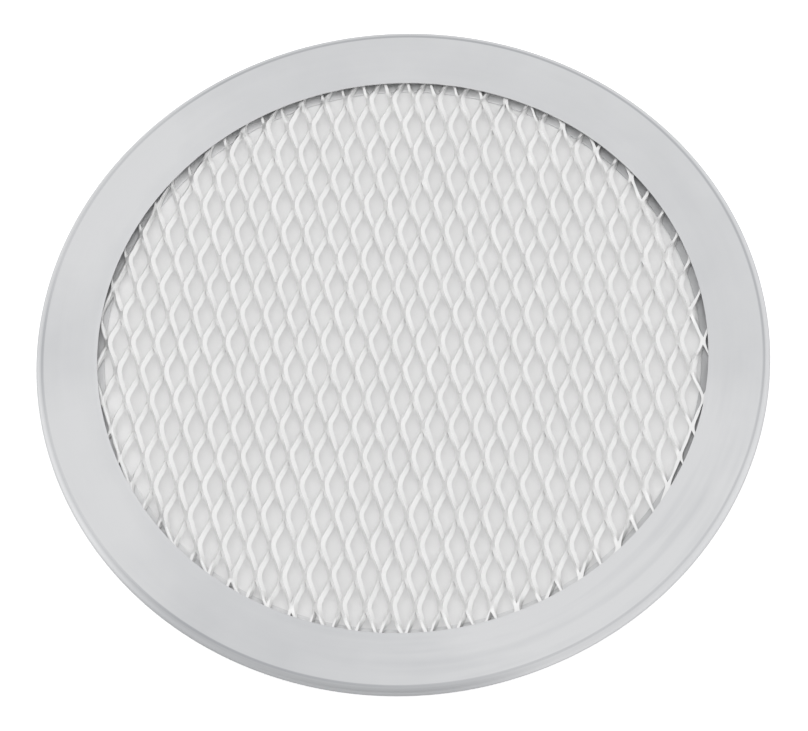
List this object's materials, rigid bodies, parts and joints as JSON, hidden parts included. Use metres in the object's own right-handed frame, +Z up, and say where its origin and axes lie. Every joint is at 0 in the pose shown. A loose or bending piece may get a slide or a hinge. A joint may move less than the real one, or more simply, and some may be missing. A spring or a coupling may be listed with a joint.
{
  "type": "pizza screen",
  "caption": "Flat round bakeware: a disc of expanded aluminium mesh with diamond openings, clamped all round in a folded flat aluminium rim.",
  "frame": {"origin": "centre of the screen on the plane of its underside", "axes": "+Z up, out of the rim's top face; +X across the diamonds, the way that their strands climb; +Y along the diamonds"},
  "size_m": [0.203, 0.203, 0.0041],
  "materials": {
    "rim": "bare rolled sheet, satin, faintly brushed along the ring",
    "mesh": "bare expanded sheet, satin, with bright cut edges"
  },
  "bodies": {
    "root": {"rim": "rim", "mesh_disc": "mesh"}
  },
  "joints": []
}
